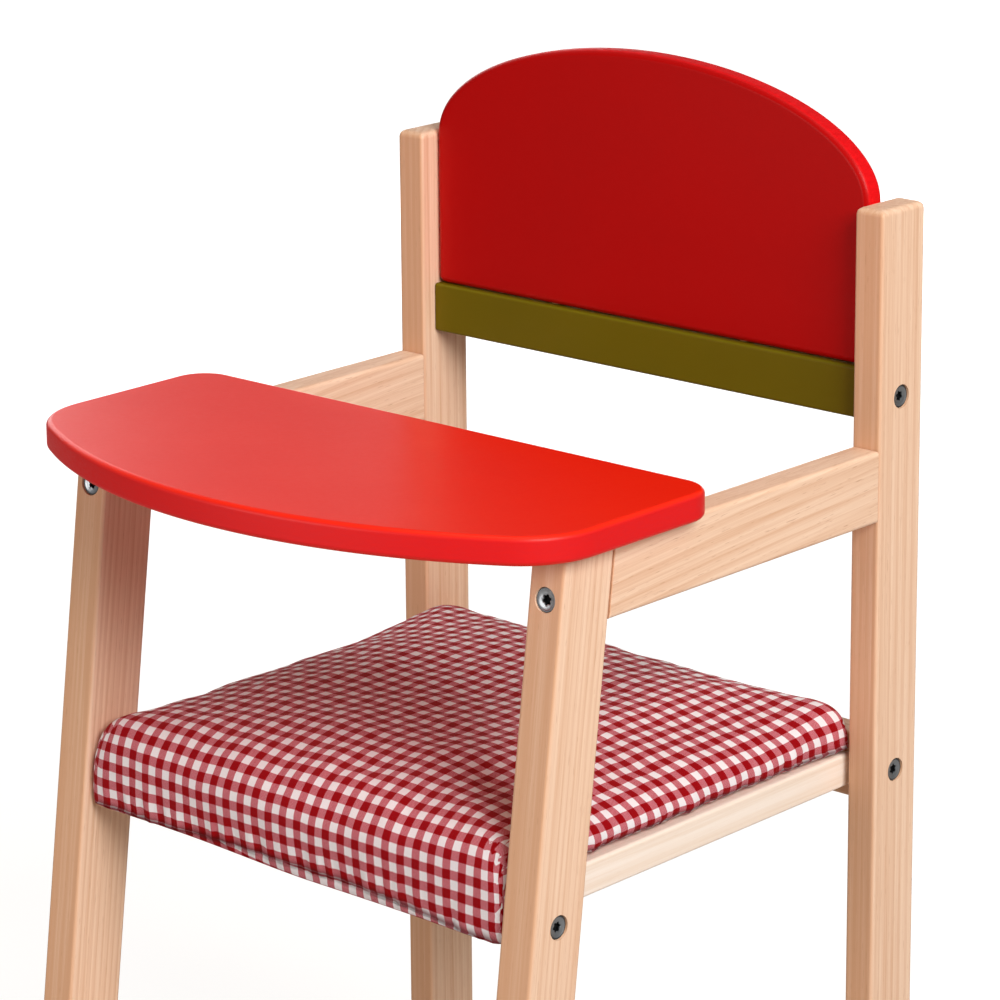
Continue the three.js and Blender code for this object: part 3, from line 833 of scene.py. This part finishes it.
def build_cushion(name):
    """A stuffed cotton cover: two sheets share one low seam, and the front hangs over the rail."""
    rail_y = front_leg_middle_y(midway(FRONT_SEAT_RAIL))
    lip = rail_y - FRONT_RAIL_DEPTH / 2 - FIT
    rail_back = rail_y + FRONT_RAIL_DEPTH / 2
    widest = WIDTH / 2 - FRONT_THICK - 0.0005
    side = widest - 0.0004
    rear = REAR_MIDDLE_Y - RAIL_THICK / 2 - 0.0012
    front = lip - 0.0040
    board = BOARD_TOP + FIT
    rail_top = FRONT_SEAT_RAIL[1] + FIT
    crown = 0.0272
    seam_rise = 0.0023
    overhang = 0.0034
    front_tuck = 0.0016
    rear_tuck = 0.0018
    over_lip = (-0.0009, 0.0022)

    def lowest(a):
        """The hanging front edge, which lies lower towards the chair's left side."""
        share = clamped((0.12 - a) / 0.85)
        return BOARD_TOP - 0.0228 + 0.0042 * share * share * (3 - 2 * share)

    def hanging_seam(a):
        """The seam along the hanging edge. In the middle the stuffing has turned it up onto the front."""
        return lowest(a) + 0.0014 + 0.0052 * max(0.0, 1 - ((a - 0.12) / 0.72) ** 2)

    def surface(a, b, upper):
        """The place of a point of a sheet, from its shares across and lengthwise, -1 to 1."""
        tucked = front_tuck if b < 0 else -rear_tuck * (1 - a * a)
        y = (front + rear) / 2 + (rear - front) / 2 * b + tucked * b ** 12
        if not upper and abs(a) < 1 and abs(b) < 1 and over_lip[0] < y - lip < over_lip[1]:
            y = lip + 0.1 * (y - lip) - (FIT if y < lip else 0.0)
        sharp_a = 13 + 34 * b ** 6
        sharp_b = 13 + 24 * a ** 6
        puffed = (max(0.0, 1 - abs(a) ** sharp_a) * max(0.0, 1 - abs(b) ** sharp_b)) ** 0.3
        seam = board + seam_rise
        if y < rail_back:
            share = min(1.0, (rail_back - y) / (rail_back - front - front_tuck)) ** 1.6
            seam = seam * (1 - share) + hanging_seam(a) * share
        pulled_in = overhang * (1 - b ** 4)
        x = a * (side - pulled_in + 0.0014 * clamped((b + 0.45) / 0.3))
        if upper:
            swollen = (4 * puffed * (1 - puffed)) ** 0.7
            x += math.copysign(pulled_in * abs(a) ** 12 * swollen, a)
            y -= tucked * b ** 12 * swollen
            top = board + crown * (1 - 0.13 * a * a - 0.07 * a ** 12)
            top -= 0.0025 * (1 - a * a) ** 2 * (1 - b * b) ** 2
            return Vector((x, y, seam + (top - seam) * puffed))
        if y >= rail_back:
            ground = board
        elif y >= lip:
            ground = rail_top + (board - rail_top) * max(0.0, (y - lip) / (rail_back - lip) * 2.5 - 1.5)
        else:
            inward = clamped((y - front - tucked) / (lip - front - tucked))
            seam += (lowest(a) - seam) * (1 - abs(a) ** sharp_a) * math.sqrt(1 - (1 - inward) ** 2)
            return Vector((x, y, seam))
        resting = min(1.0, 1.3 * (1 - a ** 34) * (1 - b ** 34))
        return Vector((x, y, seam + (ground - seam) * resting))

    def evenly(curve):
        """Shares from -1 to 1 at equal lengths along a curve."""
        fine = 4000
        shares = [math.sin(math.pi * (step / fine - 0.5)) for step in range(fine + 1)]
        points = [curve(share) for share in shares]
        length = 0.0
        lengths = [length]
        for one, other in zip(points, points[1:]):
            length += (other - one).length
            lengths.append(length)
        found = []
        place = 0
        for step in range(STEPS + 1):
            while place < fine - 1 and lengths[place + 1] < length * step / STEPS:
                place += 1
            found.append(shares[place])
        return [-1.0] + found[1:-1] + [1.0]

    across = evenly(lambda a: surface(a, 0, True))
    lengthwise = evenly(lambda b: surface(0, b, True))

    def spread(shares, line, up):
        return shares[line] * up + (2 * line / STEPS - 1) * (1 - up)

    def from_corner(shares, line, steps, level, up):
        """A share on a wall beside a corner. At the corner's edge it is the other wall's own."""
        if line > STEPS / 2:
            edge, end = STEPS - level, STEPS - WALL
        else:
            edge, end = level, WALL
        part = (steps - level) / (WALL - level)
        return shares[edge] * (1 - part) + spread(shares, end, up) * part

    def sewn(column, row, upper):
        """The place of a crossing of threads. They lie evenly at the seam and close up on the walls."""
        from_side, from_end = rims_of(column, row)
        up_column, up_row = min(1.0, from_side / WALL), min(1.0, from_end / WALL)
        a = spread(across, column, up_row)
        b = spread(lengthwise, row, up_column)
        if up_row < 1 and up_column < 1:
            if up_column >= up_row:
                a = from_corner(across, column, from_side, from_end, up_row)
                b = lengthwise[row]
            else:
                a = across[column]
                b = from_corner(lengthwise, row, from_end, from_side, up_column)
        return surface(a, b, upper)

    clear_selection()
    bpy.ops.mesh.primitive_grid_add(x_subdivisions=STEPS, y_subdivisions=STEPS, size=2)
    obj = settle(bpy.context.object, name)
    obj.data.uv_layers[0].name = "cloth"
    grid = [(round((v.co.x + 1) / 2 * STEPS), round((v.co.y + 1) / 2 * STEPS))
            for v in obj.data.vertices]
    carry(obj, "column", [column for column, row in grid], "INT")
    carry(obj, "row", [row for column, row in grid], "INT")
    twin = copy_of(obj, "underside")
    for sheet, under in ((obj, 0), (twin, 1)):
        carry(sheet, "under", [under] * len(sheet.data.polygons), "INT", "FACE")
    for index, (column, row) in enumerate(grid):
        ripple = Vector((0, 0, 0.0008 * noise.noise(Vector((column * 0.62, row * 0.62, 3.7)))))
        obj.data.vertices[index].co = sewn(column, row, True) + ripple * min(1, *rims_of(column, row))
        twin.data.vertices[index].co = sewn(column, row, False)
    open_mesh(twin)
    mark()
    bpy.ops.mesh.flip_normals()
    close_mesh()
    choose(obj)
    twin.select_set(True)
    bpy.ops.object.join()
    open_mesh(obj)
    mark()
    bpy.ops.mesh.remove_doubles(threshold=0.00001)
    outward_faces()
    close_mesh()
    stuff(obj)
    for vertex in obj.data.vertices:
        room = widest + 0.0018 * clamped((vertex.co.y + 0.045) / 0.03)
        vertex.co.x = max(-room, min(room, vertex.co.x))
        vertex.co.y = min(rear + 0.0008, vertex.co.y)

    column_of, row_of = values_of(obj, "column"), values_of(obj, "row")
    lay_cloth(obj, values_of(obj, "under"), column_of, row_of)
    rims = [rims_of(column, row) for column, row in zip(column_of, row_of)]
    carry(obj, "from_seam", [min(both) / STEPS for both in rims])
    carry(obj, "at_the_side", [float(from_side < from_end) for from_side, from_end in rims])
    for attribute in ("column", "row", "under"):
        obj.data.attributes.remove(obj.data.attributes[attribute])
    apply_modifier(obj, "SUBSURF", levels=1, render_levels=1)
    rumple(obj, widest, front, rear)
    choose(obj)
    bpy.ops.object.shade_smooth()
    return obj


def rumple(obj, widest, front, rear):
    """Pleats that the seam gathers, straight up the walls, and soft hollows in the stuffing."""
    seam, sideways = values_of(obj, "from_seam"), values_of(obj, "at_the_side")
    normals = [vertex.normal.copy() for vertex in obj.data.vertices]
    for vertex, normal in zip(obj.data.vertices, normals):
        spot = vertex.co
        across = spot.y if sideways[vertex.index] > 0.5 else spot.x
        share = seam[vertex.index]
        from_corner = max(widest - abs(spot.x), min(rear - spot.y, spot.y - front), 0.0)
        near = max(0.0, 1 - share / 0.08) ** 1.5 * min(1.0, 0.3 + share / 0.012)
        near *= min(1.0, from_corner / 0.016)
        pleat = noise.noise(Vector((across * 330, math.copysign(7.0, spot.x + spot.y), 1.5)))
        pleat += 0.6 * noise.noise(Vector((across * 120, 3.0, 4.5)))
        soft = 0.0011 * noise.noise(spot * 34) + 0.0005 * noise.noise(spot * 80 + Vector((4, 4, 4)))
        above = clamped(normal.z + 0.35) * min(1.0, share / 0.03)
        vertex.co += normal * (soft * above + 0.0014 * pleat * near)


def lay_cloth(obj, sheet_of, column_of, row_of):
    """Maps each sheet by the lengths along its threads from its middle, so the checks keep their size."""
    place = {}
    for polygon in obj.data.polygons:
        for vertex in polygon.vertices:
            spot = (sheet_of[polygon.index], column_of[vertex], row_of[vertex])
            place[spot] = obj.data.vertices[vertex].co
    middle = STEPS // 2
    along_u = {}
    along_v = {}
    for sheet in (0, 1):
        for line in range(STEPS + 1):
            for lengths, level, spot in ((along_u, 1, lambda step: (sheet, step, line)),
                                         (along_v, 0, lambda step: (sheet, line, step))):
                lengths[spot(middle)] = 0.0
                for way in (1, -1):
                    step = middle + way
                    while 0 <= step <= STEPS:
                        reach = place[spot(step)] - place[spot(step - way)]
                        reach[level] = 0.0
                        lengths[spot(step)] = lengths[spot(step - way)] + reach.length * way
                        step += way

    def down_the_wall(lengths, line, height):
        """The length at a height on a wall, read along a line that runs straight down it."""
        for one, other in zip(line, line[1:]):
            low, high = place[one].z, place[other].z
            if low <= height <= high and high > low:
                share = (height - low) / (high - low)
                return lengths[one] * (1 - share) + lengths[other] * share
        end = line[0] if height < place[line[0]].z else line[-1]
        return lengths[end]

    wall = WALL + 1

    def beside(line):
        """The first line of threads past the corner that a line is near."""
        return wall if line < middle else STEPS - wall

    def upward(line):
        """Steps from the seam that a line is near, up the wall and onto the top."""
        return range(0, wall + 5) if line < middle else range(STEPS, STEPS - wall - 5, -1)

    layer = obj.data.uv_layers["cloth"]
    for polygon in obj.data.polygons:
        sheet = sheet_of[polygon.index]
        x, y, z = (abs(value) for value in polygon.normal)
        for loop in polygon.loop_indices:
            vertex = obj.data.loops[loop].vertex_index
            column, row = column_of[vertex], row_of[vertex]
            spot = (sheet, column, row)
            u, v = along_u[spot], along_v[spot]
            from_side, from_end = rims_of(column, row)
            if sheet == 0 and from_end <= wall and from_side < wall and y > max(x, z):
                line = [(0, beside(column), step) for step in upward(row)]
                v = down_the_wall(along_v, line, place[spot].z)
            if sheet == 0 and from_side <= wall and from_end < wall and x > max(y, z):
                line = [(0, step, beside(row)) for step in upward(column)]
                u = down_the_wall(along_u, line, place[spot].z)
            layer.data[loop].uv = (u / CHECK + 0.18, v / CHECK + 0.35)


def stuff(obj):
    """Presses the stuffing out against the cover, whose cloth has slack gathered along the seam."""
    moments = 24
    farthest = 0.005
    column_of, row_of = values_of(obj, "column"), values_of(obj, "row")
    under = set()
    for polygon, value in zip(obj.data.polygons, values_of(obj, "under")):
        if value:
            under.update(polygon.vertices)
    held = obj.vertex_groups.new(name="held")
    slack = obj.vertex_groups.new(name="slack")
    for vertex in obj.data.vertices:
        rims = rims_of(column_of[vertex.index], row_of[vertex.index])
        if vertex.index in under or min(rims) == 0 or max(rims) < WALL:
            held.add([vertex.index], 1.0, "REPLACE")
        share = max(0.0, 1 - min(rims) / 6) * min(1.0, max(rims) / 18)
        slack.add([vertex.index], share, "REPLACE")
    start = [vertex.co.copy() for vertex in obj.data.vertices]
    choose(obj)
    cloth = obj.modifiers.new("Cloth", "CLOTH")
    cloth.point_cache.frame_end = moments
    cloth.settings.effector_weights.gravity = 0
    for setting, value in {
        "quality": 8, "mass": 0.15,
        "tension_stiffness": 80, "compression_stiffness": 40,
        "shear_stiffness": 10, "bending_stiffness": 0.06,
        "use_pressure": True, "uniform_pressure_force": 4,
        "vertex_group_mass": "held", "vertex_group_shrink": "slack",
        "shrink_min": 0.0, "shrink_max": -0.06,
    }.items():
        setattr(cloth.settings, setting, value)
    for moment in range(1, moments + 1):
        bpy.context.scene.frame_set(moment)
    bpy.ops.object.modifier_apply(modifier=cloth.name)
    bpy.context.scene.frame_set(1)
    for vertex, old in zip(obj.data.vertices, start):
        move = vertex.co - old
        if move.length > farthest:
            vertex.co = old + move.normalized() * farthest
    obj.vertex_groups.clear()


# The set: floor, lamps, camera


def stand(name, data, place, target):
    """Sets up a lamp or a camera that looks from its place at a target."""
    obj = bpy.data.objects.new(name, data)
    obj.location = place
    obj.rotation_euler = (Vector(target) - Vector(place)).to_track_quat("-Z", "Y").to_euler()
    bpy.context.scene.collection.objects.link(obj)
    return obj


def lamp(name, place, target, width, height, power, tint=(1, 1, 1)):
    data = bpy.data.lights.new(name, "AREA")
    data.shape = "RECTANGLE"
    data.size = width
    data.size_y = height
    data.energy = power
    data.color = tint
    stand(name, data, place, target).visible_camera = False


def build_set():
    scene = bpy.context.scene
    scene.view_settings.view_transform = "Standard"
    world = bpy.data.worlds.new("Studio")
    scene.world = world
    world.use_nodes = True
    tree = world.node_tree
    tree.nodes.clear()
    path = add_node(tree, "ShaderNodeLightPath", {}, {})
    seen = (0.20, 0.155, 0.11, 1)
    for ray, colour in (("Is Glossy Ray", (0.24, 0.24, 0.24, 1)), ("Is Camera Ray", (1, 1, 1, 1))):
        mix = add_node(tree, "ShaderNodeMix", {"data_type": "RGBA"},
                       {0: path.outputs[ray], 6: seen, 7: colour})
        seen = mix.outputs[2]
    background = add_node(tree, "ShaderNodeBackground", {}, {"Color": seen})
    add_node(tree, "ShaderNodeOutputWorld", {}, {0: background.outputs[0]})

    clear_selection()
    bpy.ops.mesh.primitive_plane_add(size=24, location=(0, 0, -0.0002))
    floor = settle(bpy.context.object, "floor")
    paper = Finish("White paper floor", **{"Base Color": (0.38, 0.38, 0.38, 1), "Roughness": 0.9,
                                           "Specular IOR Level": 0.1, "Emission Strength": 1.0})
    path = paper.node("ShaderNodeLightPath", {}, {})
    x, y = paper.split(paper.places.outputs["Object"])[:2]
    far = ((x * x + y * y) ** 0.5).step(0.7, 2.6)
    glow = (0.79 + far * 0.21) * Amount(paper, path.outputs["Is Camera Ray"])
    paper.tree.links.new(paper.join(glow, glow, glow), paper.surface.inputs["Emission Color"])
    floor.data.materials.append(paper.material)

    target = (0, 0, 0.36)
    lamp("key", (2.08, -0.73, 1.74), target, 1.3, 1.3, 66, (1.0, 0.985, 0.965))
    lamp("front", (-0.42, -1.30, 0.52), (-0.02, -0.1, 0.28), 0.8, 0.6, 5.1, (1.0, 0.965, 0.93))
    lamp("behind", (-2.32, 1.02, 1.12), target, 1.3, 1.1, 12)
    lamp("top", (0.2, -0.3, 2.5), target, 1.4, 1.4, 7)
    lamp("rear fill", (-1.3, 2.1, 0.35), target, 1.2, 0.6, 10)


def build_camera():
    data = bpy.data.cameras.new("Camera")
    data.sensor_width = 36
    data.lens = 155.34
    data.shift_x = -0.0398
    data.shift_y = -0.0942
    camera = stand("Camera", data, (1.20503, -1.31502, 0.89263), (0.05012, 0.001, 0.42895))
    camera.rotation_euler.rotate_axis("Z", math.radians(-0.305))
    bpy.context.scene.camera = camera


# Putting the chair together

PALE = shade(250, 218, 192)
TAN = shade(219, 168, 131)
FROM_FRONT = (0, 1, 0)

forms = boring_forms()
for side, sign in SIDES:
    outer = sign * WIDTH / 2
    inner = outer - sign * LEG_THICK
    left, right = min(inner, outer), max(inner, outer)
    paint = timber(f"Beech, {side} rear leg", "z", PALE, TAN, (sign * 0.3, 0.02), seed=1.7 + sign)
    obj = leg(f"rear_leg_{side}_timber", (left, REAR_FRONT_Y, 0), (right, REAR_BACK_Y, REAR_TOP), 0, forms)
    dress(obj, paint, "beech", "frame", f"rear_leg_{side}")

    inner = outer - sign * FRONT_THICK
    low = (min(inner, outer), front_leg_front_y(0), 0)
    high = (max(inner, outer), front_leg_rear_y(0), ARM_TOP)
    rise = front_leg_rear_y(ARM_TOP) - front_leg_rear_y(0)
    paint = timber(f"Beech, {side} front leg", "z", PALE, TAN, (sign * 0.05, -0.5), seed=5.3 + sign,
                   lean=LEAN)
    obj = leg(f"front_leg_{side}_timber", low, high, rise, forms)
    dress(obj, paint, "beech", "frame", f"front_leg_{side}")

    paint = timber(f"Beech, {side} armrest", "y", PALE, TAN, (sign * 0.1, 0.30), seed=9.1 + sign,
                   ring_gap=0.006, wander=0.02, fleck=0.5, slope=0.07)
    dress(armrest(f"armrest_{side}_timber", left, right, forms), paint, "beech", "frame", f"armrest_{side}")

red = lacquer("Red lacquer, tray", shade(251, 38, 6), shade(232, 16, 4), shade(220, 24, 30))
dress(tray("tray_board", forms), red, "red_lacquer", "frame", "tray")
# Painted shade: the backrest's front and back faces get a darker red than the same lacquer on the tray, as
# the shade that falls on them.
red_back_painted_shade = lacquer("Red lacquer, backrest", shade(186, 2, 2), shade(164, 1, 2), shade(238, 16, 24),
                   faces=FROM_FRONT, gloss=0.1)
dress(backrest("backrest_board", forms), red_back_painted_shade, "red_lacquer", "frame", "backrest_panel")
lime = lacquer("Lime lacquer", shade(114, 98, 2), shade(96, 82, 1), shade(104, 88, 2),
               faces=FROM_FRONT, gloss=0.1)

rear_reach = WIDTH / 2 - LEG_THICK - FIT
front_reach = WIDTH / 2 - FRONT_THICK - FIT
rail_y = front_leg_middle_y(midway(FRONT_SEAT_RAIL))
foot_y = front_leg_middle_y(midway(FOOTREST))
for node, reach, y, depth, (low, high), rounding, heart, seed in (
    ("back_rail", rear_reach, REAR_MIDDLE_Y, RAIL_THICK, BACK_RAIL, RAIL_ROUNDING, None, None),
    ("rear_seat_rail", rear_reach, REAR_MIDDLE_Y, RAIL_THICK, REAR_SEAT_RAIL, RAIL_ROUNDING,
     (0.4, 0.1), 13.2),
    ("front_seat_rail", front_reach, rail_y, FRONT_RAIL_DEPTH, FRONT_SEAT_RAIL, FRONT_RAIL_ROUNDING,
     (0.2, 0.4), 15.9),
    ("footrest", front_reach, foot_y, RAIL_THICK, FOOTREST, RAIL_ROUNDING, (0.1, -0.3), 18.4),
):
    paint, slot = lime, "lime_lacquer"
    if heart:
        paint = timber(f"Beech, {node.replace('_', ' ')}", "x", PALE, TAN, heart, seed=seed)
        slot = "beech"
    obj = bar(f"{node}_bar", (-reach, y - depth / 2, low), (reach, y + depth / 2, high), rounding, forms)
    dress(obj, paint, slot, "frame", node)

low = (-front_reach, rail_y + FRONT_RAIL_DEPTH / 2 + FIT, BOARD_TOP - BOARD_THICK)
high = (front_reach, REAR_MIDDLE_Y - RAIL_THICK / 2 - FIT, BOARD_TOP)
board = bar("seat_board_plank", low, high, RAIL_ROUNDING, forms, along="y")
board_paint = timber("Pale timber, seat board", "y", shade(254, 241, 230), shade(238, 214, 192),
                     (0.05, 0.7), seed=21.7, ring_gap=0.008, wander=0.012, fleck=0.12)
dress(board, board_paint, "pale_wood", "frame", "seat_board")

for form in forms:
    bpy.data.objects.remove(form)
fit_screws(steel("Dark plated steel"))

dowel_paint = timber("Raw beech, dowels", "z", shade(238, 206, 166), shade(196, 148, 104), (0.02, 0.03),
                     seed=25.0, ring_gap=0.0015, wander=0.001)
for node in DOWELS:
    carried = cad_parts[node]
    carried.data.materials.clear()
    carried.data.materials.append(dowel_paint)

cushion = build_cushion("cushion_cover")
dress(cushion, gingham("Red and white gingham"), "gingham", "cushion", "cushion")

build_set()
build_camera()
